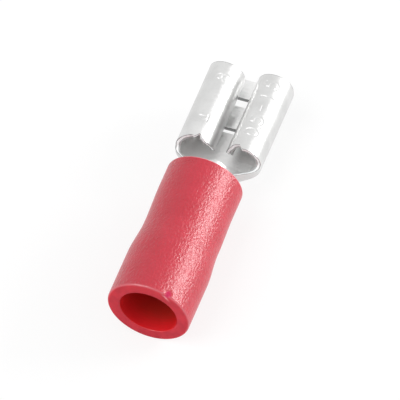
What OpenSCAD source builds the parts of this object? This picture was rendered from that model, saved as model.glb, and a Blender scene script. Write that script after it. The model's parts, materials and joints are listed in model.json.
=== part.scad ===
// Insulated crimp terminal with a female spade (quick-disconnect) end.
// X runs along the wire, from the sleeve's mouth at x = 0 to the tab end. Z is up,
// away from the base plate, and the wire barrel's axis lies on the X axis.

/* [Tab] */
// Width of the flat tab that the receptacle takes
tab_w = 4.75; // [4.6:0.05:5.2]
// Thickness of the flat tab
tab_t = 0.5; // [0.4:0.05:0.6]
// Play beside the tab, both edges together
tab_side_play = 0.09; // [0.04:0.01:0.2]
// Play between the tab and the lips above it
tab_top_play = 0.05; // [0.02:0.01:0.1]

/* [Sheet] */
// Thickness of the plated brass strip
sheet_t = 0.30; // [0.26:0.01:0.34]

/* [Receptacle] */
// Length of the rolled side wings
wing_len = 5.9; // [5.6:0.1:6.8]
// Height from the underside to the top of the rolls
receptacle_h = 2.35; // [2.3:0.01:2.6]
// Outside diameter of each roll
roll_d = 2.28; // [2.1:0.02:2.36]
// Outside radius of the bend from the base plate to the side wall
corner_r = 0.85; // [0.7:0.05:0.95]
// How far the base plate runs on past the rolls
tongue_len = 0.55; // [0.3:0.05:0.8]
// Width of the base plate past the rolls
tongue_w = 2.6; // [2:0.1:3]
// Corner radius of the base plate's front edge
tongue_r = 0.3; // [0.1:0.05:0.4]

/* [Spring bridge] */
// Distance from the rolls' front end to the front slot
front_land = 0.83; // [0.6:0.01:1]
// Length of the front slot
front_slot = 0.67; // [0.4:0.01:0.8]
// Length of the bridge between the slots
bridge_len = 1.7; // [1.5:0.05:1.9]
// Length of the rear slot
rear_slot = 0.4; // [0.3:0.05:0.6]
// Width of both slots
slot_w = 3.0; // [2.4:0.1:3.2]
// Height of the dimple on the bridge
dimple_h = 0.16; // [0.08:0.02:0.2]
// Diameter of the dimple at the bridge's top face
dimple_d = 1.2; // [0.9:0.1:1.4]

/* [Neck] */
// Length of the open neck, from the barrel to the rolls
neck_len = 1.55; // [1.3:0.05:2]
// Height of the neck's side walls over their bottom bend
neck_wall = 0.12; // [0.05:0.01:0.2]
// How far each lip's sheared end slants back at its lower edge
lip_step = 0.44; // [0.2:0.02:0.6]
// Trim of the rolls' rear edge between the notch and the lip
lip_trim = 0.06; // [0.02:0.01:0.15]
// Depth of the shear notch beside each roll's crown
notch_depth = 0.36; // [0.2:0.01:0.45]

/* [Wire barrel] */
// Outside diameter of the wire barrel
barrel_d = 2.42; // [2.3:0.02:2.6]
// Length of the closed barrel
barrel_len = 5.5; // [5:0.1:6]
// How far the barrel's top reaches out over the neck
shell_len = 0.38; // [0.2:0.02:0.5]
// Half of the angle that this top covers
shell_half_angle = 57; // [45:1:70]
// Width of the butt seam along the barrel's top
seam_w = 0.05; // [0.02:0.01:0.1]
// Number of gripping grooves inside the barrel
groove_count = 3; // [2:1:4]
// Depth of each groove
groove_depth = 0.08; // [0.04:0.01:0.1]
// Length of each groove
groove_len = 0.4; // [0.3:0.05:0.5]
// Chamfer inside the barrel's rear end
barrel_chamfer = 0.12; // [0.05:0.01:0.15]

/* [Sleeve] */
// Length of the insulating sleeve
sleeve_len = 10.24; // [9.8:0.01:10.6]
// Outside diameter at the wire end
mouth_d = 5.26; // [5.2:0.01:5.8]
// Outside diameter over the wire barrel
grip_d = 4.88; // [4.6:0.01:5.1]
// Bore at the wire end
mouth_bore_d = 3.67; // [3.2:0.01:4]
// Middle of the outside flare, from the mouth
flare_x = 4.55; // [4:0.05:4.8]
// Length of the outside flare
flare_len = 2.4; // [1.6:0.1:3]
// Length of the funnel that leads strands into the barrel
funnel_len = 0.9; // [0.7:0.05:1.2]
// How far the sleeve's front end stops short of the barrel's
barrel_reach = 0.61; // [0.5:0.01:0.9]
// Radius on the sleeve's outer end edges
rim_r = 0.16; // [0.08:0.01:0.2]

/* [Hidden] */
$fn = 96;

// Places along X
barrel_x1 = sleeve_len + barrel_reach;
barrel_x0 = barrel_x1 - barrel_len;
wing_x0 = barrel_x1 + neck_len;
wing_x1 = wing_x0 + wing_len;
tongue_x1 = wing_x1 + tongue_len;
front_slot_x1 = wing_x1 - front_land;
front_slot_x0 = front_slot_x1 - front_slot;
bridge_x0 = front_slot_x0 - bridge_len;
rear_slot_x0 = bridge_x0 - rear_slot;

// Section of the receptacle
base_z = -barrel_d / 2;
base_top = base_z + sheet_t;
half_w = (tab_w + tab_side_play) / 2 + sheet_t;
roll_r = roll_d / 2;
roll_y = half_w - roll_r;
roll_z = base_z + receptacle_h - roll_r;
lip_z = base_top + tab_t + tab_top_play;
corner_y = half_w - corner_r;
corner_z = base_z + corner_r;
barrel_r = barrel_d / 2;
barrel_bore_r = barrel_r - sheet_t;
cut = 0.02;

// Neck loft
neck_steps = 10;
arc_steps = 8;
keel_half_w = 0.03;
tuck = 0.01;
tuck_len = 0.1;
wall_rise = 0.08;

metal = [0.83, 0.83, 0.82];
vinyl = [0.77, 0.28, 0.32];

function mix(a, b, s) = a + (b - a) * s;
function smooth(s) = s * s * (3 - 2 * s);

// Turns a flat section drawn as [y, z] into a bar along X.
module along_x(x0, x1) {
    translate([x0, 0, 0])
        rotate([90, 0, 90])
            linear_extrude(height = x1 - x0)
                children();
}

// Base plate, bend and side wall of one half, filled, set in by the given depth.
module low_outline(depth, top) {
    translate([-cut, base_z + depth])
        square([corner_y + cut, top - base_z - depth]);
    intersection() {
        translate([corner_y, corner_z])
            circle(r = corner_r - depth);
        translate([0, base_z])
            square([half_w, corner_r + cut]);
    }
    translate([0, corner_z])
        square([half_w - depth, top - corner_z]);
}

// Half of the ring that the roll makes over the side wall.
module roll_ring() {
    intersection() {
        translate([roll_y, roll_z])
            difference() {
                circle(r = roll_r);
                circle(r = roll_r - sheet_t);
            }
        translate([0, roll_z - cut])
            square([half_w, roll_d]);
    }
}

// The folded sheet of one wing: base, bend, wall, roll and the lip that holds the tab.
module half_sheet() {
    difference() {
        low_outline(0, roll_z);
        low_outline(sheet_t, roll_z + cut);
    }
    roll_ring();
    translate([roll_y - roll_r, lip_z])
        square([sheet_t, roll_z - lip_z]);
}

// Plan of what is sheared off the rolls' rear edge, with the notch beside the crown.
module notch_plan() {
    polygon([
        [-1, -cut],
        [lip_trim, -cut],
        [lip_trim, roll_y - 0.8],
        [lip_trim + 0.09, roll_y - 0.48],
        [notch_depth, roll_y - 0.38],
        [notch_depth, roll_y - 0.24],
        [0, roll_y - 0.08],
        [-1, roll_y - 0.08],
    ]);
}

// Side view of the slanting end of a lip.
module lip_end_side() {
    polygon([
        [-1, roll_z + roll_r * 0.4],
        [lip_trim, roll_z + roll_r * 0.4],
        [lip_step, lip_z - cut],
        [-1, lip_z - cut],
    ]);
}

module rear_shear() {
    lip_depth = roll_y - roll_r + sheet_t + 0.1;
    translate([wing_x0, 0, lip_z - cut])
        linear_extrude(height = receptacle_h)
            notch_plan();
    translate([wing_x0, lip_depth, 0])
        rotate([90, 0, 0])
            linear_extrude(height = lip_depth)
                lip_end_side();
}

module wings() {
    for (side = [0, 1])
        mirror([0, side, 0])
            difference() {
                along_x(wing_x0, wing_x1)
                    half_sheet();
                rear_shear();
            }
}

// The base plate's front end, past the rolls.
module tongue() {
    translate([wing_x1 - 0.2, -tongue_w / 2, base_z])
        cube([tongue_len + 0.2 - tongue_r, tongue_w, sheet_t]);
    translate([wing_x1 - 0.2, -tongue_w / 2 + tongue_r, base_z])
        cube([tongue_len + 0.2, tongue_w - 2 * tongue_r, sheet_t]);
    for (side = [-1, 1])
        translate([tongue_x1 - tongue_r, side * (tongue_w / 2 - tongue_r), base_z])
            cylinder(r = tongue_r, h = sheet_t);
}

module slots() {
    for (slot = [[rear_slot_x0, rear_slot], [front_slot_x0, front_slot]])
        translate([slot[0], -slot_w / 2, base_z - cut])
            cube([slot[1], slot_w, sheet_t + 2 * cut]);
}

// A ball under the bridge raises the dimple, and a smaller one hollows it from below.
dimple_ball_r = (pow(dimple_d / 2, 2) + pow(dimple_h, 2)) / (2 * dimple_h);
dimple_ball_z = base_top + dimple_h - dimple_ball_r;

module dimple_ball(r) {
    translate([bridge_x0 + bridge_len / 2, 0, dimple_ball_z])
        sphere(r = r);
}

module dimple_cap() {
    intersection() {
        dimple_ball(dimple_ball_r);
        translate([bridge_x0, -dimple_d, base_top - sheet_t / 2])
            cube([bridge_len, 2 * dimple_d, 1]);
    }
}

// The neck is one loft. Each section is a trough of even thickness, whose width, bend
// and wall height run from the barrel's lower half to the receptacle's base and sides.
// At both ends it thins by a hair, and a short stretch of it lies inside the sheet there.
function neck_x(s) = mix(barrel_x1, wing_x0, s);
function neck_half_w(s) = mix(barrel_r, half_w, pow(sin(90 * s), 1.3));
function neck_bend(s) = mix(barrel_r - keel_half_w, corner_r, smooth(s));
function neck_top(s) = mix(base_z + neck_bend(s) + neck_wall, roll_z + wall_rise, pow(s, 6));
function neck_tuck(s) = tuck * pow(2 * s - 1, 4);

// Right-hand side of one section from its bottom centre up, at a depth inside the sheet.
function neck_side(s, depth) = concat(
    [for (i = [0:arc_steps])
        let (a = -90 + 90 * i / arc_steps, r = neck_bend(s))
        [neck_half_w(s) - r + (r - depth) * cos(a), base_z + r + (r - depth) * sin(a)]],
    [[neck_half_w(s) - depth, neck_top(s)]]
);
function flipped(side) =
    [for (i = [len(side) - 1:-1:0]) [-side[i][0], side[i][1]]];
function backwards(list) = [for (i = [len(list) - 1:-1:0]) list[i]];
function neck_ring(s) = let (
    outer = neck_side(s, neck_tuck(s)),
    inner = neck_side(s, sheet_t - neck_tuck(s))
) concat(flipped(outer), outer, backwards(inner), backwards(flipped(inner)));

module neck() {
    places = concat(
        [[barrel_x1 - tuck_len, 0]],
        [for (i = [0:neck_steps]) [neck_x(i / neck_steps), i / neck_steps]],
        [[wing_x0 + tuck_len, 1]]
    );
    rings = [for (place = places) neck_ring(place[1])];
    count = len(rings[0]);
    half = count / 2;
    last = (len(places) - 1) * count;
    points = [for (i = [0:len(places) - 1])
        for (p = rings[i]) [places[i][0], p[0], p[1]]];
    sides = [for (i = [0:len(places) - 2]) for (k = [0:count - 1])
        let (a = i * count + k, b = i * count + (k + 1) % count)
        for (t = [[a, a + count, b], [b, a + count, b + count]]) t];
    caps = [for (k = [0:half - 2])
        for (t = [[k, k + 1, count - 1 - k], [k + 1, count - 2 - k, count - 1 - k]]) t];
    polyhedron(
        points = points,
        faces = concat(
            sides,
            caps,
            [for (t = caps) [last + t[0], last + t[2], last + t[1]]]
        )
    );
}

// Tube about the X axis.
module tube(x0, x1, r, bore_r) {
    translate([x0, 0, 0])
        rotate([0, 90, 0])
            difference() {
                cylinder(r = r, h = x1 - x0);
                translate([0, 0, -cut])
                    cylinder(r = bore_r, h = x1 - x0 + 2 * cut);
            }
}

module grooves() {
    pitch = barrel_len / (groove_count + 2);
    for (i = [1:groove_count])
        translate([barrel_x0 + pitch * (i + 0.5) - groove_len / 2, 0, 0])
            rotate([0, 90, 0])
                cylinder(r = barrel_bore_r + groove_depth, h = groove_len);
}

// Top of the barrel that reaches out over the neck, with its two square shoulders.
module barrel_shell() {
    intersection() {
        tube(barrel_x1 - 0.2, barrel_x1 + shell_len, barrel_r, barrel_bore_r);
        translate([barrel_x1 - 0.3, 0, 0])
            rotate([90, 0, 90])
                linear_extrude(height = shell_len + 0.5)
                    polygon([
                        [0, 0],
                        2 * barrel_d * [sin(shell_half_angle), cos(shell_half_angle)],
                        2 * barrel_d * [-sin(shell_half_angle), cos(shell_half_angle)],
                    ]);
    }
}

module barrel() {
    difference() {
        union() {
            tube(barrel_x0, barrel_x1, barrel_r, barrel_bore_r);
            barrel_shell();
        }
        grooves();
        translate([barrel_x0 - cut, 0, 0])
            rotate([0, 90, 0])
                cylinder(
                    r1 = barrel_bore_r + barrel_chamfer + cut,
                    r2 = barrel_bore_r,
                    h = barrel_chamfer + cut
                );
        translate([barrel_x0 - 1, -seam_w / 2, 0])
            cube([barrel_len + shell_len + 2, seam_w, barrel_d]);
    }
}

// Terminal: one piece of plated brass strip, blanked, folded and rolled.
module terminal() {
    color(metal) {
        barrel();
        neck();
        difference() {
            union() {
                wings();
                tongue();
                dimple_cap();
            }
            slots();
            dimple_ball(dimple_ball_r - sheet_t);
        }
    }
}

// Sleeve: one vinyl tube, gripped on the barrel and flared at the wire end.
flare_steps = 8;
rim_steps = 4;
grip_r = grip_d / 2;
mouth_r = mouth_d / 2;
mouth_bore_r = mouth_bore_d / 2;
inner_rim_r = rim_r / 2;

// Points of a quarter round, as [radius, x].
function quarter(r0, x0, r, a0) =
    [for (i = [0:rim_steps])
        let (a = a0 + 90 * i / rim_steps)
        [r0 + r * cos(a), x0 + r * sin(a)]];
function flare_outline() =
    [for (i = [0:flare_steps])
        let (s = i / flare_steps)
        [mix(mouth_r, grip_r, smooth(s)), flare_x + flare_len * (s - 0.5)]];

module sleeve() {
    color(vinyl)
        rotate([0, 90, 0])
            rotate_extrude()
                polygon(concat(
                    quarter(mouth_r - rim_r, rim_r, rim_r, -90),
                    flare_outline(),
                    quarter(grip_r - rim_r, sleeve_len - rim_r, rim_r, 0),
                    [
                        [barrel_r, sleeve_len],
                        [barrel_r, barrel_x0],
                        [mouth_bore_r, barrel_x0 - funnel_len],
                    ],
                    quarter(mouth_bore_r + inner_rim_r, inner_rim_r, inner_rim_r, 180)
                ));
}

terminal();
sleeve();
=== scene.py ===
"""Looks of the insulated spade terminal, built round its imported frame.

The terminal is one strip of plated brass. Its folded section is a function of the length
along the strip's outer face, and the strip is a grid of that length against the place
along X, with a wall of even thickness. The sleeve is an outline turned round the X axis.
Sizes in this file are millimetres until a mesh is written.
"""
import json
import bpy
import numpy as np
from mathutils import Matrix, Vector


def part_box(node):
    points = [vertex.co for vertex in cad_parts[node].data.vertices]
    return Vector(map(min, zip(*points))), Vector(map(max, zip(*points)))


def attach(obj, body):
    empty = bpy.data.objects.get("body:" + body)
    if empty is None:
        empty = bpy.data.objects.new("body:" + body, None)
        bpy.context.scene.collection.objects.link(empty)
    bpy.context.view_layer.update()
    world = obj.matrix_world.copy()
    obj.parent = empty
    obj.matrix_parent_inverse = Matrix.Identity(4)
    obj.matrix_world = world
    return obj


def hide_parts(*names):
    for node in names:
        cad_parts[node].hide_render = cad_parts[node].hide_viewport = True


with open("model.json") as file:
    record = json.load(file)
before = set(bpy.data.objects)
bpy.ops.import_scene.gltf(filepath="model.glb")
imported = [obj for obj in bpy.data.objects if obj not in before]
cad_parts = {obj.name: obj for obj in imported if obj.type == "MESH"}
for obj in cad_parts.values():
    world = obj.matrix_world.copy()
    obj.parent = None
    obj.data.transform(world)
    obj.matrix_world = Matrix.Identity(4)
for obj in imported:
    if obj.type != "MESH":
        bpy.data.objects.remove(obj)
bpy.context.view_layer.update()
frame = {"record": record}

MM = 0.001


def box_mm(node):
    """Lowest and highest corner of a CAD node, in millimetres."""
    low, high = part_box(node)
    return np.array(low) / MM, np.array(high) / MM


terminal_low, terminal_high = box_mm("terminal")
sleeve_low, sleeve_high = box_mm("sleeve")
mounts = {mount["name"]: mount for mount in frame["record"]["mounts"]}

# Wire barrel
barrel_r = -terminal_low[2]
barrel_bore_r = mounts["wire_barrel"]["dims"]["r_mm"]
sheet = barrel_r - barrel_bore_r
barrel_x0 = terminal_low[0]
barrel_len = 5.5
barrel_x1 = barrel_x0 + barrel_len
shell_len = 0.38
shell_half_angle = 57.0
seam_w = 0.05
groove_count = 3
groove_depth = 0.08
groove_len = 0.4
barrel_chamfer = 0.12

# Receptacle
base_z = terminal_low[2]
half_w = terminal_high[1]
roll_r = 1.14
roll_y = half_w - roll_r
roll_z = terminal_high[2] - roll_r
corner_r = 0.85
corner_y = half_w - corner_r
corner_z = base_z + corner_r
lip_z = base_z + sheet + 0.55
neck_len = 1.55
neck_wall = 0.12
wing_x0 = barrel_x1 + neck_len
tongue_x1 = terminal_high[0]
tongue_len = 0.55
wing_x1 = tongue_x1 - tongue_len
tongue_half_w = 1.3
tongue_r = 0.3
slot_half_w = 1.5
front_slot = (wing_x1 - 1.5, wing_x1 - 0.83)
rear_slot = (front_slot[0] - 2.1, front_slot[0] - 1.7)
crease_x = rear_slot[0] - 0.38
dimple_x = (rear_slot[1] + front_slot[0]) / 2 - 0.1
dimple_r = 0.85
dimple_h = 0.15

# Sleeve
sleeve_len = sleeve_high[0]
mouth_r = sleeve_high[2]
grip_r = 2.44
mouth_bore_r = mounts["wire_entry"]["dims"]["r_mm"]
flare_x = 4.55
flare_len = 2.4
funnel_len = 0.9
rim_r = 0.14
end_r = 0.09

# Lengths along the strip's outer face, from the middle of the base, at which each bend starts
flat_end = corner_y
bend_end = flat_end + np.pi / 2 * corner_r
wall_end = bend_end + roll_z - corner_z
roll_end = wall_end + np.pi * roll_r
lip_end = roll_end + roll_z - lip_z


def mix(a, b, share):
    """Straight blend from a to b."""
    return a + (b - a) * share


def smooth(share):
    """Blend share that leaves and arrives level: 3 s^2 - 2 s^3, held between 0 and 1."""
    share = np.clip(share, 0.0, 1.0)
    return share * share * (3.0 - 2.0 * share)


def spaced(*stretches):
    """One rising list of places from (start, end, step) stretches that follow each other."""
    places = [np.linspace(a, b, max(2, int(round((b - a) / step)) + 1)) for a, b, step in stretches]
    return np.unique(np.round(np.concatenate(places), 6))


# The strip's section

def folded_section(arc):
    """Outer face of the wings at a length `arc` >= 0 along it: the flat base, a quarter turn,
    the upright wall, a half turn of the roll and the lip that comes straight down.
    Returns y, z and the outward normal's y and z."""
    bend = (arc - flat_end) / corner_r - np.pi / 2
    roll = (arc - wall_end) / roll_r
    along = [arc < flat_end, arc < bend_end, arc < wall_end, arc < roll_end]
    y = np.select(along, [arc, corner_y + corner_r * np.cos(bend), half_w + 0 * arc,
                          roll_y + roll_r * np.cos(roll)], roll_y - roll_r)
    z = np.select(along, [base_z + 0 * arc, corner_z + corner_r * np.sin(bend),
                          corner_z + arc - bend_end, roll_z + roll_r * np.sin(roll)],
                  roll_z - (arc - roll_end))
    ny = np.select(along, [0 * arc, np.cos(bend), 1 + 0 * arc, np.cos(roll)], -1.0)
    nz = np.select(along, [-1 + 0 * arc, np.sin(bend), 0 * arc, np.sin(roll)], 0.0)
    return y, z, ny, nz


def trough_section(share, s):
    """Outer face of the open neck, at a share of the way from its bottom to its wall's top.
    s runs from 0 at the barrel to 1 at the wings. Width, bend and wall height follow s."""
    wide = mix(barrel_r, half_w, np.sin(np.pi / 2 * s) ** 1.3)
    bend_r = mix(barrel_r, corner_r, smooth(s))
    top = mix(base_z + bend_r + neck_wall, roll_z, s ** 6)
    flat = wide - bend_r
    turn = np.pi / 2 * bend_r
    arc = share * (flat + turn + top - base_z - bend_r)
    bend = (arc - flat) / bend_r - np.pi / 2
    along = [arc < flat, arc < flat + turn]
    y = np.select(along, [arc, flat + bend_r * np.cos(bend)], wide)
    z = np.select(along, [base_z + 0 * arc, base_z + bend_r + bend_r * np.sin(bend)],
                  base_z + bend_r + arc - flat - turn)
    ny = np.select(along, [0 * arc, np.cos(bend)], 1.0)
    nz = np.select(along, [-1 + 0 * arc, np.sin(bend)], 0.0)
    return y, z, ny, nz


def barrel_angle(arc):
    """Angle round the closed barrel, from the level, for a length along the strip."""
    wall_top = np.arcsin(neck_wall / barrel_r)
    seam = np.pi / 2 - seam_w / 2 / barrel_r
    low = mix(-np.pi / 2, wall_top, arc / wall_end)
    high = mix(wall_top, seam, (arc - wall_end) / (lip_end - wall_end))
    return np.where(arc < wall_end, low, high)


# The sheared rear edge of the two rolls: degrees round the roll from its outer wall, and how
# far the edge is set forward of the neck's end there. Beside each crown there is a notch.
rear_edge_right = [(-20, 0.0), (35, 0.04), (84, 0.06), (92, 0.03), (98, 0.16), (103, 0.31),
                   (128, 0.29), (138, 0.14), (160, 0.08), (176, 0.17), (198, 0.44)]
rear_edge_left = [(-20, -0.2), (43, -0.08), (66, 0.02), (84, 0.12), (94, 0.07), (100, 0.22),
                  (105, 0.36), (110, 0.3), (115, 0.16), (135, 0.06), (154, 0.09), (170, 0.18),
                  (198, 0.44)]


def rear_edge(side, arc):
    """How far the strip's rear edge is set forward of the neck's end."""
    degrees = np.degrees((arc - wall_end) / roll_r)
    right = np.interp(degrees, *zip(*rear_edge_right))
    left = np.interp(degrees, *zip(*rear_edge_left))
    rolled = np.where(side > 0, left, right)
    return rolled * smooth((arc - flat_end) / (wall_end - flat_end))


# Stamped marks: plain numbers, as strokes in a box one high, from the left foot

def ring_stroke(width, height, centre, first=0, last=360):
    """Points of part of an ellipse, by angle from its right-hand end."""
    turn = np.radians(np.linspace(first, last, 17))
    return np.stack([centre[0] + width / 2 * np.cos(turn), centre[1] + height / 2 * np.sin(turn)], 1)


strokes = {
    "0": [ring_stroke(0.62, 1.0, (0.0, 0.5))],
    "1": [np.array([(-0.2, 0.76), (0.04, 1.0), (0.04, 0.0)])],
    "4": [np.array([(0.12, 0.0), (0.12, 1.0), (-0.3, 0.3), (0.3, 0.3)])],
    "5": [np.array([(0.26, 1.0), (-0.2, 1.0), (-0.25, 0.56)]),
          ring_stroke(0.62, 0.62, (-0.02, 0.31), 120, -145)],
    "8": [ring_stroke(0.46, 0.46, (0.0, 0.77)), ring_stroke(0.6, 0.54, (0.0, 0.27))],
    "-": [np.array([(-0.22, 0.5), (0.22, 0.5)])],
    ".": [np.array([(0.0, 0.0), (0.0, 0.03)])],
}
mark_height = 0.84
mark_depth = 0.028
mark_stroke = 0.05


def segment_distance(x, y, a, b):
    """Distance from each point to the straight stroke from a to b."""
    way = b - a
    share = np.clip(((x - a[0]) * way[0] + (y - a[1]) * way[1]) / (way @ way + 1e-12), 0, 1)
    return np.hypot(x - a[0] - share * way[0], y - a[1] - share * way[1])


def mark_distance(x, up, figures, middles, foot):
    """Distance to the nearest stroke of a row of figures that reads along +X. The middles
    are measured forward from the rolls' rear end."""
    nearest = np.full(x.shape, 9.0)
    for figure, middle in zip(figures, middles):
        for stroke in strokes[figure]:
            points = stroke * mark_height + [wing_x0 + middle, foot]
            for a, b in zip(points[:-1], points[1:]):
                nearest = np.minimum(nearest, segment_distance(x, up, a, b))
    return nearest


def mark_dent(x, side, arc):
    """Depth pressed into the rolls by the stamped figures: a rounded groove by distance."""
    crown = arc - wall_end - np.pi / 2 * roll_r
    right = mark_distance(x, crown, "0.5-1.5", (1.4, 1.86, 2.34, 3.27, 4.15, 4.64, 5.12), -0.5)
    left = mark_distance(x, -crown, "4.8", (1.55, 3.1, 4.75), -0.62)
    distance = np.where(side > 0, left, right)
    return mark_depth * np.exp(-(distance / mark_stroke) ** 4)


# The strip as a grid

def strip_columns():
    """Lengths along the outer face at which the strip is cut into columns, for one half."""
    degree = np.radians(1) * roll_r
    corner = tongue_half_w - tongue_r * (1 - np.sin(np.radians(np.linspace(0, 90, 9))))
    return np.unique(np.round(np.concatenate([
        spaced((0, 0.72, 0.06), (0.72, 1.0, 0.14), (slot_half_w, flat_end, 0.12)),
        corner,
        spaced((flat_end, bend_end, 0.12), (bend_end, wall_end, 0.09)),
        spaced((wall_end, wall_end + 50 * degree, 5 * degree),
               (wall_end + 50 * degree, wall_end + 136 * degree, 1.5 * degree),
               (wall_end + 136 * degree, roll_end, 4 * degree),
               (roll_end, lip_end, 0.09)),
    ]), 5))


def strip_rows():
    """Places along X at which the strip is cut into rows."""
    grooves = [barrel_x0 + barrel_len / (groove_count + 2) * (i + 1.5) for i in range(groove_count)]
    ends = [g + side * (groove_len / 2 + step) for g in grooves for side in (-1, 1) for step in (0, 0.01)]
    barrel = [barrel_x0, barrel_x0 + barrel_chamfer, barrel_x1 - 0.4] + ends
    return np.unique(np.round(np.concatenate([
        barrel,
        spaced((barrel_x1 - 0.4, barrel_x1, 0.1), (barrel_x1, barrel_x1 + shell_len, 0.095),
               (barrel_x1 + shell_len, wing_x0, 0.09)),
        spaced((wing_x0, wing_x0 + 0.8, 0.045), (wing_x0 + 0.8, rear_slot[0], 0.038),
               (rear_slot[0], rear_slot[1], 0.038), (rear_slot[1], front_slot[0], 0.038),
               (front_slot[0], front_slot[1], 0.038), (front_slot[1], wing_x1, 0.05)),
        spaced((wing_x1, tongue_x1, 0.09)),
    ]), 5))


def strip_places(rows, columns):
    """Outer and inner face of the whole strip, as arrays of rows by columns by 3."""
    x, along = np.meshgrid(rows, columns, indexing="ij")
    side = np.where(along < 0, -1.0, 1.0)
    arc = np.abs(along)
    wing = folded_section(arc)
    s = np.clip((x - barrel_x1) / neck_len, 0, 1)
    trough = trough_section(np.clip(arc / wall_end, 0, 1), s)
    angle = barrel_angle(arc)
    ring = (barrel_r * np.cos(angle), barrel_r * np.sin(angle), np.cos(angle), np.sin(angle))
    on_barrel = (x < barrel_x1 - 1e-4) | ((arc > wall_end + 1e-4) & (x < wing_x0 - 1e-4))
    on_neck = x < wing_x0 - 1e-4
    y, z, ny, nz = (np.select([on_barrel, on_neck], [r, t], w) for r, t, w in zip(ring, trough, wing))

    # Set the rear edge of the rolls, the neck's wall and the tongue's round corners
    near = smooth(1 - (x - wing_x0) / 1.6) * smooth(1 - (wing_x0 - x) / 0.9)
    moved = near * rear_edge(side, arc) * ~on_barrel
    past = np.clip((x - wing_x1) / tongue_len, 0, 1)
    corner = np.clip(arc - (tongue_half_w - tongue_r), 0, tongue_r)
    moved = moved - past * (tongue_r - np.sqrt(tongue_r ** 2 - corner ** 2))

    # The dimple is a soft mound, and a faint crease crosses the base behind the rear slot
    off = np.hypot(x - dimple_x, arc)
    rise = dimple_h * smooth(1 - off / dimple_r)
    crease = 0.02 * np.exp(-((x - crease_x) / 0.06) ** 2) * (arc < flat_end)
    dent = np.where((x > wing_x0) & (x < wing_x1), mark_dent(x, side, arc), 0)

    grooves = np.zeros_like(x)
    for i in range(groove_count):
        middle = barrel_x0 + barrel_len / (groove_count + 2) * (i + 1.5)
        grooves += groove_depth * (np.abs(x - middle) < groove_len / 2 + 0.005)
    mouth = np.clip(barrel_chamfer - (x - barrel_x0), 0, barrel_chamfer)
    wall = sheet - grooves - mouth

    # The barrel's shell runs out a little further on its -Y side
    past_barrel = np.clip(x - barrel_x1, 0, shell_len) * (arc > wall_end + 1e-4) * (x < wing_x0 - 1e-4)
    moved = moved - past_barrel * mix(0.15, 0.75, smooth(0.5 + side * np.cos(angle)))

    lift = rise - crease
    outer = np.stack([x + moved, side * (y - dent * ny), z - dent * nz + lift], -1)
    inner = np.stack([x + moved, side * (y - wall * ny), z - wall * nz + lift], -1)
    return outer, inner


def strip_cells(rows, columns):
    """Which cells of the grid hold metal: the blank's outline, less the two slots."""
    x = (rows[:-1] + rows[1:])[:, None] / 2
    arc = np.abs((columns[:-1] + columns[1:])[None, :] / 2)
    shell = np.degrees(barrel_angle(arc)) > 90 - shell_half_angle
    barrel = (x < barrel_x1) | ((x < barrel_x1 + shell_len) & shell)
    trough = (x < wing_x0) & (arc < wall_end)
    wings = (x > wing_x0) & (x < wing_x1)
    tongue = (x > wing_x1) & (arc < tongue_half_w)
    slots = np.zeros_like(x * arc, dtype=bool)
    for low, high in (rear_slot, front_slot):
        slots |= (x > low) & (x < high) & (arc < slot_half_w)
    return (barrel | trough | wings | tongue) & ~slots


def walled_faces(cells):
    """Quads of both faces of a sheet and of the walls round its outline and holes.
    The inner face's points follow the outer face's. Order gives outward normals."""
    tall, wide = cells.shape[0] + 1, cells.shape[1] + 1
    point = np.arange(tall * wide).reshape(tall, wide)
    deep = point + tall * wide
    a, b = point[:-1, :-1][cells], point[1:, :-1][cells]
    c, d = point[1:, 1:][cells], point[:-1, 1:][cells]
    under = tall * wide
    faces = [np.stack([a, d, c, b], 1), np.stack([a, b, c, d], 1) + under]
    framed = np.pad(cells, 1)
    before, after = framed[1:-1, :-1], framed[1:-1, 1:]
    for edge, forward in ((after & ~before, True), (before & ~after, False)):
        p, q = point[:-1][edge], point[1:][edge]
        r, t = deep[1:][edge], deep[:-1][edge]
        faces.append(np.stack([p, q, r, t] if forward else [p, t, r, q], 1))
    before, after = framed[:-1, 1:-1], framed[1:, 1:-1]
    for edge, forward in ((after & ~before, False), (before & ~after, True)):
        p, q = point[:, :-1][edge], point[:, 1:][edge]
        r, t = deep[:, 1:][edge], deep[:, :-1][edge]
        faces.append(np.stack([p, q, r, t] if forward else [p, t, r, q], 1))
    place = np.arange(sum(len(part) for part in faces))
    marks = {"inside": (place >= len(a)) & (place < 2 * len(a)), "sheared": place >= 2 * len(a)}
    return np.concatenate(faces), marks


def write_mesh(name, points, faces, uv=None, marks=None):
    """A mesh object from points in millimetres, with unused points left out."""
    used, faces = np.unique(faces, return_inverse=True)
    faces = faces.reshape(-1, 4)
    points = points.reshape(-1, 3)[used] * MM
    mesh = bpy.data.meshes.new(name)
    mesh.from_pydata(points, [], faces)
    if uv is not None:
        layer = mesh.uv_layers.new(name="UVMap")
        layer.data.foreach_set("uv", uv.reshape(-1, 2)[used][faces.ravel()].ravel())
    for mark, marked in (marks or {}).items():
        per_face = marked.size == len(faces)
        layer = mesh.attributes.new(mark, "FLOAT", "FACE" if per_face else "POINT")
        values = marked.ravel() if per_face else marked.ravel()[used]
        layer.data.foreach_set("value", values.astype(np.float32))
    piece = bpy.data.objects.new(name, mesh)
    bpy.context.scene.collection.objects.link(piece)
    return piece


def shade(piece, degrees):
    """Smooth shading that breaks at edges sharper than the angle."""
    piece.data.shade_smooth()
    piece.data.set_sharp_from_angle(angle=np.radians(degrees))


def punched_points(rows, columns):
    """1 at the points on the rims of the two slots."""
    x, arc = rows[:, None], np.abs(columns)[None, :]
    inside = [(x > low - 1e-3) & (x < high + 1e-3) & (arc < slot_half_w + 1e-3)
              for low, high in (rear_slot, front_slot)]
    return inside[0] | inside[1]


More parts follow.
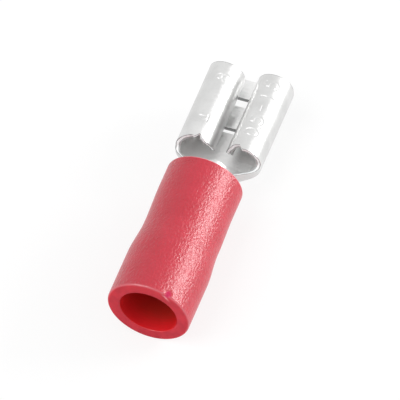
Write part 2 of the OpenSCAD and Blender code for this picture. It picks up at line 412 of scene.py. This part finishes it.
def make_terminal():
    """The plated strip: blanked, rolled, folded and stamped, with its sheared edges eased."""
    rows = strip_rows()
    half = strip_columns()
    columns = np.concatenate([-half[:0:-1], half])
    outer, inner = strip_places(rows, columns)
    x, along = np.meshgrid(rows, columns, indexing="ij")
    uv = np.stack([x, along], -1) / 10
    faces, marks = walled_faces(strip_cells(rows, columns))
    # The slots' rims, whose walls take a flat dark grey as painted shade.
    slot_wall_shade = punched_points(rows, columns)
    marks["slot_wall_shade"] = np.stack([slot_wall_shade, slot_wall_shade])
    # The points along the rolls' front edge, where a dark grey line of painted shade is laid.
    roll_front_edge_shade = (np.abs(x - wing_x1) < 1e-3) & (np.abs(along) > bend_end)
    marks["roll_front_edge_shade"] = np.stack([roll_front_edge_shade, roll_front_edge_shade])
    marks["depth"] = np.stack([np.zeros_like(x), np.ones_like(x)])
    piece = write_mesh("terminal_strip", np.stack([outer, inner]), faces, np.stack([uv, uv]), marks)
    shade(piece, 50)
    eased = piece.modifiers.new("eased_edges", "BEVEL")
    eased.width = 0.03 * MM
    eased.segments = 2
    eased.limit_method = "ANGLE"
    eased.angle_limit = np.radians(50)
    eased.harden_normals = True
    return piece


# The sleeve

def sleeve_outline():
    """Radius and place along X round the sleeve's wall, from the mouth's outer rim over the
    flare to the front end, and back through the barrel's seat, the funnel and the bore."""
    quarter = np.linspace(0, np.pi / 2, 9)
    inner_r = rim_r / 2
    flare = np.linspace(0, 1, 41)
    span = flare_x - flare_len / 2
    parts = [
        [mouth_r - rim_r + rim_r * np.sin(quarter), rim_r - rim_r * np.cos(quarter)],
        [np.full(10, mouth_r), np.linspace(rim_r, 0.6, 11)[1:]],
        [np.full(22, mouth_r), np.linspace(0.6, span, 24)[1:-1]],
        [mix(mouth_r, grip_r, smooth(flare)), span + flare_len * flare],
        [np.full(36, grip_r), np.linspace(span + flare_len, sleeve_len - end_r, 38)[1:-1]],
        [grip_r - end_r + end_r * np.cos(quarter), sleeve_len - end_r + end_r * np.sin(quarter)],
        [np.linspace(grip_r - end_r, barrel_r, 8)[1:], np.full(7, sleeve_len)],
        [np.full(5, barrel_r), np.linspace(sleeve_len, barrel_x0, 6)[1:]],
        [np.linspace(barrel_r, mouth_bore_r, 7)[1:], np.linspace(barrel_x0, barrel_x0 - funnel_len, 7)[1:]],
        [np.full(18, mouth_bore_r), np.linspace(barrel_x0 - funnel_len, inner_r, 20)[1:-1]],
        [mouth_bore_r + inner_r - inner_r * np.cos(quarter), inner_r - inner_r * np.sin(quarter)],
        [np.linspace(mouth_bore_r + inner_r, mouth_r - rim_r, 10)[1:-1], np.zeros(8)],
    ]
    return np.concatenate([part[0] for part in parts]), np.concatenate([part[1] for part in parts])


def make_sleeve():
    """The outline turned round X. The grip's outer wall sits a little off the axis, and there
    is a small nick in the mouth's outer rim: a pit that falls off by a bell curve. The marks
    say where the skin, the cut rim, the bore and the nick are, how far the bore takes painted
    shade, and where pale pink painted highlights run along the mouth's and the end's outer
    edges, with a pale streak beside the nick."""
    radius, x = sleeve_outline()
    turn = np.linspace(0, 2 * np.pi, 337)[:-1]
    angle, radius = np.meshgrid(turn, radius, indexing="ij")
    x = np.meshgrid(turn, x, indexing="ij")[1]
    outside = np.clip((radius - barrel_r) / (grip_r - barrel_r), 0, 1)
    bow = 0.08 * smooth((x - 5.9) / 2.7) * outside
    beside = (angle - np.radians(31)) * mouth_r
    out = radius - mouth_r
    pit = np.exp(-(beside / 0.19) ** 2 - ((out + 0.04) / 0.16) ** 2 - ((x - 0.1) / 0.28) ** 2)
    # Pale marks on the skin: the streak is a pale streak beside the nick, and the two arris terms are painted
    # highlights, thin pale pink lines along the mouth's and the end's outer edges, broken at the nick.
    streak = np.exp(-((beside + 0.02) / 0.26) ** 2 - ((out + 0.26 + 0.3 * beside) / 0.06) ** 2 - (x / 0.2) ** 2)
    mouth_arris = np.exp(-((out + 0.05) / 0.06) ** 2 - ((x - 0.05) / 0.07) ** 2)
    end_arris = np.exp(-((radius - grip_r + 0.02) / 0.06) ** 2 - ((x - sleeve_len + 0.02) / 0.05) ** 2)
    edge_highlight_and_pale_streak = (0.22 * mouth_arris + 0.9 * end_arris) * (1 - pit) + 0.7 * streak
    moved_r = radius - 0.13 * pit
    moved_x = x + 0.12 * pit
    points = np.stack([moved_x, bow - moved_r * np.sin(angle), moved_r * np.cos(angle)], -1)
    wall = radius > barrel_r + 0.3
    bore = (radius < mouth_bore_r + 0.01) & (x > 0.02) & (x < sleeve_len - 0.1)
    skin = wall & ~bore & (x > 0.1) & (x < sleeve_len - 0.02)
    cut = wall & ~bore & (x < 0.03) & (radius < mouth_r - 0.06)
    # The deep mark is painted shade in the bore: it grows from 0.3 mm in to 1.7 mm in, and is weaker towards
    # +Y.
    marks = {"skin": skin, "cut": cut, "bore": bore, "deep": bore * smooth((x - 0.3) / 1.4) * mix(1, 0.55, smooth(-np.sin(angle))), "nick": smooth(3 * pit - 0.7), "edge_highlight_and_pale_streak": edge_highlight_and_pale_streak}
    tall, wide = radius.shape
    here = np.arange(tall * wide).reshape(tall, wide)
    next_turn = np.roll(here, -1, 0)
    faces = np.stack([here, np.roll(here, -1, 1), np.roll(next_turn, -1, 1), next_turn], -1)
    piece = write_mesh("vinyl_sleeve", points, faces.reshape(-1, 4), marks=marks)
    shade(piece, 45)
    return piece


# Materials

def new_material(name):
    """An empty node material with its shader and the object's own coordinates."""
    material = bpy.data.materials.new(name)
    material.use_nodes = True
    tree = material.node_tree
    shader = tree.nodes["Principled BSDF"]
    place = tree.nodes.new("ShaderNodeTexCoord")
    return material, tree, shader, place.outputs["Object"]


def noise(tree, place, scale, detail=2.0, stretch=(1, 1, 1)):
    """Noise of a size in turns per metre, stretched along the axes."""
    mapping = tree.nodes.new("ShaderNodeMapping")
    mapping.inputs["Scale"].default_value = stretch
    tree.links.new(place, mapping.inputs["Vector"])
    texture = tree.nodes.new("ShaderNodeTexNoise")
    texture.inputs["Scale"].default_value = scale
    texture.inputs["Detail"].default_value = detail
    tree.links.new(mapping.outputs["Vector"], texture.inputs["Vector"])
    return texture.outputs["Fac"]


def ramp(tree, value, low, high, dark, light):
    """Colour between two tones, by where a value lies between low and high."""
    node = tree.nodes.new("ShaderNodeValToRGB")
    node.color_ramp.elements[0].position = low
    node.color_ramp.elements[1].position = high
    node.color_ramp.elements[0].color = (*dark, 1)
    node.color_ramp.elements[1].color = (*light, 1)
    tree.links.new(value, node.inputs["Fac"])
    return node.outputs["Color"]


def ranged(tree, value, low, high):
    """A value from 0 to 1 spread between low and high."""
    node = tree.nodes.new("ShaderNodeMapRange")
    node.inputs["To Min"].default_value = low
    node.inputs["To Max"].default_value = high
    tree.links.new(value, node.inputs["Value"])
    return node.outputs["Result"]


def where_marked(tree, mark, value, there, kind):
    """A value that gives way to another one on the faces that carry a mark."""
    node = tree.nodes.new("ShaderNodeMix")
    node.data_type = kind
    a, b, result = [[socket for socket in sockets if socket.name == name and socket.type == {
        "RGBA": "RGBA", "FLOAT": "VALUE"}[kind]][0]
        for sockets, name in ((node.inputs, "A"), (node.inputs, "B"), (node.outputs, "Result"))]
    marked = tree.nodes.new("ShaderNodeAttribute")
    marked.attribute_name = mark
    tree.links.new(marked.outputs["Fac"], node.inputs["Factor"])
    tree.links.new(value, a)
    if isinstance(there, bpy.types.NodeSocket):
        tree.links.new(there, b)
    else:
        b.default_value = there
    return result


def shear_lines(tree, place):
    """Tones across a sheared edge, from the outer face to the inner one: a dark burr, the
    bright cut, the duller break and a pale inner arris. Noise makes the lines waver."""
    wander = tree.nodes.new("ShaderNodeMath")
    wander.operation = "MULTIPLY_ADD"
    wander.inputs[1].default_value = 0.3
    tree.links.new(noise(tree, place, 2500, 3), wander.inputs[0])
    across = tree.nodes.new("ShaderNodeAttribute")
    across.attribute_name = "depth"
    tree.links.new(across.outputs["Fac"], wander.inputs[2])
    node = tree.nodes.new("ShaderNodeValToRGB")
    stops = [(0.12, 0.2), (0.26, 0.25), (0.38, 1.0), (0.74, 1.0), (0.86, 0.35), (1.05, 0.45)]
    while len(node.color_ramp.elements) < len(stops):
        node.color_ramp.elements.new(0.5)
    for element, (stop, level) in zip(node.color_ramp.elements, stops):
        element.position = stop / 1.2
        element.color = (level * 0.96, level, level, 1)
    share = tree.nodes.new("ShaderNodeMath")
    share.operation = "DIVIDE"
    share.inputs[1].default_value = 1.2
    tree.links.new(wander.outputs["Value"], share.inputs[0])
    tree.links.new(share.outputs["Value"], node.inputs["Fac"])
    return node.outputs["Color"]


def bump(tree, height, distance, strength, below=None):
    """A bump of a depth in metres, laid over another."""
    node = tree.nodes.new("ShaderNodeBump")
    node.inputs["Distance"].default_value = distance
    node.inputs["Strength"].default_value = strength
    tree.links.new(height, node.inputs["Height"])
    if below is not None:
        tree.links.new(below, node.inputs["Normal"])
    return node.outputs["Normal"]


def tinned_brass():
    """Bright tin plate: fine ripples across the strip's length, cloudy gloss, fine grain, and
    duller sheared edges. The inner face is lighter as painted light in the hollows, and the
    slots' walls and a line along the rolls' front edge are dark grey as painted shade."""
    material, tree, shader, place = new_material("tinned_brass")
    strip = tree.nodes.new("ShaderNodeUVMap")
    strip.uv_map = "UVMap"
    clouds = noise(tree, place, 900, 3)
    grain = noise(tree, place, 11000, 2)
    ripples = noise(tree, strip.outputs["UV"], 55, 3, (1, 0.16, 1))
    plated = ramp(tree, clouds, 0.35, 0.7, (0.64, 0.64, 0.635), (0.71, 0.71, 0.705))
    # The inner face's lighter tone is painted light in the hollows of the rolls and the neck.
    tone = where_marked(tree, "inside", plated, (0.8, 0.8, 0.795, 1), "RGBA")
    # Painted shade: a dark grey line along the rolls' front edge.
    tone = where_marked(tree, "roll_front_edge_shade", tone, (0.25, 0.25, 0.25, 1), "RGBA")
    # Painted shade: the slots' walls are a flat dark grey.
    shear = where_marked(tree, "slot_wall_shade", shear_lines(tree, place), (0.3, 0.31, 0.31, 1), "RGBA")
    tone = where_marked(tree, "sheared", tone, shear, "RGBA")
    tree.links.new(tone, shader.inputs["Base Color"])
    gloss = where_marked(tree, "inside", ranged(tree, clouds, 0.25, 0.36), 0.5, "FLOAT")
    tree.links.new(where_marked(tree, "sheared", gloss, 0.5, "FLOAT"), shader.inputs["Roughness"])
    fine = bump(tree, grain, 0.000008, 0.5)
    tree.links.new(bump(tree, ripples, 0.00006, 0.6, fine), shader.inputs["Normal"])
    plate = ranged(tree, clouds, 0.8, 0.8)
    tree.links.new(where_marked(tree, "sheared", plate, 0.1, "FLOAT"), shader.inputs["Metallic"])
    return material


def red_vinyl():
    """Soft red vinyl that lets some light through. The skin of its outer wall has very fine
    creases. The cut rim is duller, and the nick a deeper crimson. The bore is a brighter red
    as painted light and turns darker further in as painted shade. Pale pink painted highlights
    run along the outer edges of the mouth and the end, with a pale streak beside the nick."""
    material, tree, shader, place = new_material("red_vinyl")
    creases = noise(tree, place, 7200, 2, (0.7, 1, 1))
    pits = noise(tree, place, 1500, 3)
    tone = ramp(tree, pits, 0.3, 0.75, (0.455, 0.012, 0.03), (0.505, 0.016, 0.038))
    dull = ramp(tree, pits, 0.35, 0.65, (0.46, 0.002, 0.018), (0.57, 0.008, 0.026))
    tone = where_marked(tree, "cut", tone, dull, "RGBA")
    # The bore's brighter red stands in for light on its wall: painted light.
    tone = where_marked(tree, "bore", tone, (0.72, 0.012, 0.018, 1), "RGBA")
    # Painted shade: the bore turns a darker red further in, by the deep mark.
    tone = where_marked(tree, "deep", tone, (0.5, 0.02, 0.012, 1), "RGBA")
    tone = where_marked(tree, "nick", tone, (0.55, 0.0, 0.07, 1), "RGBA")
    # Painted highlights: pale pink along the mouth's and the end's outer edges, plus a pale streak beside the
    # nick.
    tone = where_marked(tree, "edge_highlight_and_pale_streak", tone, (0.95, 0.45, 0.5, 1), "RGBA")
    tree.links.new(tone, shader.inputs["Base Color"])
    gloss = where_marked(tree, "cut", ranged(tree, pits, 0.25, 0.33), 0.8, "FLOAT")
    gloss = where_marked(tree, "bore", gloss, 0.4, "FLOAT")
    tree.links.new(where_marked(tree, "nick", gloss, 0.7, "FLOAT"), shader.inputs["Roughness"])
    depth = tree.nodes.new("ShaderNodeMath")
    depth.operation = "MULTIPLY"
    skin = tree.nodes.new("ShaderNodeAttribute")
    skin.attribute_name = "skin"
    tree.links.new(skin.outputs["Fac"], depth.inputs[0])
    tree.links.new(creases, depth.inputs[1])
    tree.links.new(bump(tree, depth.outputs["Value"], 0.00008, 0.7), shader.inputs["Normal"])
    shader.inputs["Specular IOR Level"].default_value = 0.7
    shader.inputs["Subsurface Weight"].default_value = 0.15
    shader.inputs["Subsurface Scale"].default_value = 0.0008
    shader.inputs["Subsurface Radius"].default_value = (1.0, 0.1, 0.1)
    return material


# Stage

def seen_directly(tree):
    """1 for rays from the camera, a mirror or glass, and 0 for rays that gather light."""
    path = tree.nodes.new("ShaderNodeLightPath")
    seen = tree.nodes.new("ShaderNodeMath")
    seen.operation = "MAXIMUM"
    tree.links.new(path.outputs["Is Camera Ray"], seen.inputs[0])
    tree.links.new(path.outputs["Is Glossy Ray"], seen.inputs[1])
    through = tree.nodes.new("ShaderNodeMath")
    through.operation = "MAXIMUM"
    tree.links.new(seen.outputs["Value"], through.inputs[0])
    tree.links.new(path.outputs["Is Transmission Ray"], through.inputs[1])
    return through.outputs["Value"]


def make_floor():
    """A plain pale floor that keeps a soft part of the object's shadow. It is seen half as a
    lit floor and half as plain white, and is clear from below."""
    size = 3000.0
    points = np.array([(-size, -size, 0), (size, -size, 0), (size, size, 0), (-size, size, 0)])
    points[:, 2] = sleeve_low[2]
    floor = write_mesh("floor", points, np.array([[0, 1, 2, 3]]))
    material, tree, shader, _ = new_material("pale_floor")
    shader.inputs["Base Color"].default_value = (0.95, 0.95, 0.95, 1)
    shader.inputs["Roughness"].default_value = 0.9
    shader.inputs["Specular IOR Level"].default_value = 0.1
    white = tree.nodes.new("ShaderNodeEmission")
    white.inputs["Color"].default_value = (1, 1, 1, 1)
    white.inputs["Strength"].default_value = 1.0
    half = tree.nodes.new("ShaderNodeMath")
    half.operation = "MULTIPLY"
    half.inputs[1].default_value = 0.8
    tree.links.new(seen_directly(tree), half.inputs[0])
    pale = tree.nodes.new("ShaderNodeMixShader")
    tree.links.new(half.outputs["Value"], pale.inputs["Fac"])
    tree.links.new(shader.outputs["BSDF"], pale.inputs[1])
    tree.links.new(white.outputs["Emission"], pale.inputs[2])
    clear = tree.nodes.new("ShaderNodeBsdfTransparent")
    blend = tree.nodes.new("ShaderNodeMixShader")
    facing = tree.nodes.new("ShaderNodeNewGeometry")
    tree.links.new(facing.outputs["Backfacing"], blend.inputs["Fac"])
    tree.links.new(pale.outputs["Shader"], blend.inputs[1])
    tree.links.new(clear.outputs["BSDF"], blend.inputs[2])
    tree.links.new(blend.outputs["Shader"], tree.nodes["Material Output"].inputs["Surface"])
    floor.data.materials.append(material)


def make_world():
    """White where it is seen or mirrored, and a plain level of light elsewhere."""
    world = bpy.data.worlds.new("studio")
    world.use_nodes = True
    bpy.context.scene.world = world
    tree = world.node_tree
    plain = tree.nodes["Background"]
    plain.inputs["Color"].default_value = (1, 1, 1, 1)
    plain.inputs["Strength"].default_value = 0.45
    white = tree.nodes.new("ShaderNodeBackground")
    white.inputs["Color"].default_value = (1, 1, 1, 1)
    white.inputs["Strength"].default_value = 1.0
    blend = tree.nodes.new("ShaderNodeMixShader")
    tree.links.new(seen_directly(tree), blend.inputs["Fac"])
    tree.links.new(plain.outputs["Background"], blend.inputs[1])
    tree.links.new(white.outputs["Background"], blend.inputs[2])
    tree.links.new(blend.outputs["Shader"], tree.nodes["World Output"].inputs["Surface"])


# The view: where the camera stands, and which ways are right and up in its picture
view_azimuth = np.radians(-66.05)
view_elevation = np.radians(53.93)
view_roll = np.radians(4.73)
view_middle = np.array([8.845, -0.096, -0.018])
view_span = 24.24


def view_axes():
    """Right, up and back of the camera, from its azimuth, elevation and roll."""
    back = np.array([np.sin(view_azimuth) * np.cos(view_elevation),
                     -np.cos(view_azimuth) * np.cos(view_elevation),
                     np.sin(view_elevation)])
    level = np.cross([0, 0, 1], back)
    level = level / np.linalg.norm(level)
    upright = np.cross(back, level)
    right = np.cos(view_roll) * level - np.sin(view_roll) * upright
    up = np.sin(view_roll) * level + np.cos(view_roll) * upright
    return right, up, back


def standing(right, up, back, place):
    """Matrix of a camera or lamp that looks against `back` from a place in metres."""
    matrix = Matrix.Identity(4)
    for column, axis in enumerate((right, up, back, place)):
        for row in range(3):
            matrix[row][column] = axis[row]
    return matrix


def make_camera():
    """A long lens, so that the picture is nearly without perspective."""
    data = bpy.data.cameras.new("camera")
    camera = bpy.data.objects.new("camera", data)
    bpy.context.scene.collection.objects.link(camera)
    data.sensor_width = 36.0
    data.lens = 1000.0
    distance = view_span * data.lens / data.sensor_width
    right, up, back = view_axes()
    camera.matrix_world = standing(right, up, back, (view_middle + back * distance) * MM)
    data.clip_start = 0.01
    data.clip_end = 10.0
    bpy.context.scene.camera = camera


def make_lamp(name, around, lean, level, width, length):
    """A soft panel lamp 300 mm away. `around` is its angle round the X axis, from overhead
    towards -Y, and `lean` its angle towards +X, in degrees. `level` is how bright the panel
    itself is, where 1 is white, so its power is pi times level times area."""
    a, b = np.radians(around), np.radians(lean)
    away = np.array([np.sin(b), -np.cos(b) * np.sin(a), np.cos(b) * np.cos(a)])
    side = np.array([0, np.cos(a), np.sin(a)])
    data = bpy.data.lights.new(name, "AREA")
    data.shape = "RECTANGLE"
    data.size = width * MM
    data.size_y = length * MM
    data.energy = np.pi * level * width * length * MM ** 2
    lamp = bpy.data.objects.new(name, data)
    bpy.context.scene.collection.objects.link(lamp)
    place = (view_middle + 300 * away) * MM
    lamp.matrix_world = standing(side, np.cross(away, side), away, place)


terminal = make_terminal()
terminal.data.materials.append(tinned_brass())
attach(terminal, "root")
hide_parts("terminal")

sleeve = make_sleeve()
sleeve.data.materials.append(red_vinyl())
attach(sleeve, "root")
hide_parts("sleeve")

make_floor()
make_world()
make_camera()
make_lamp("key", around=66, lean=32, level=9.0, width=130, length=150)
make_lamp("broad", around=70, lean=30, level=1.0, width=450, length=400)
make_lamp("fill", around=-30, lean=-25, level=2.9, width=250, length=250)
bpy.context.scene.view_settings.view_transform = "Standard"
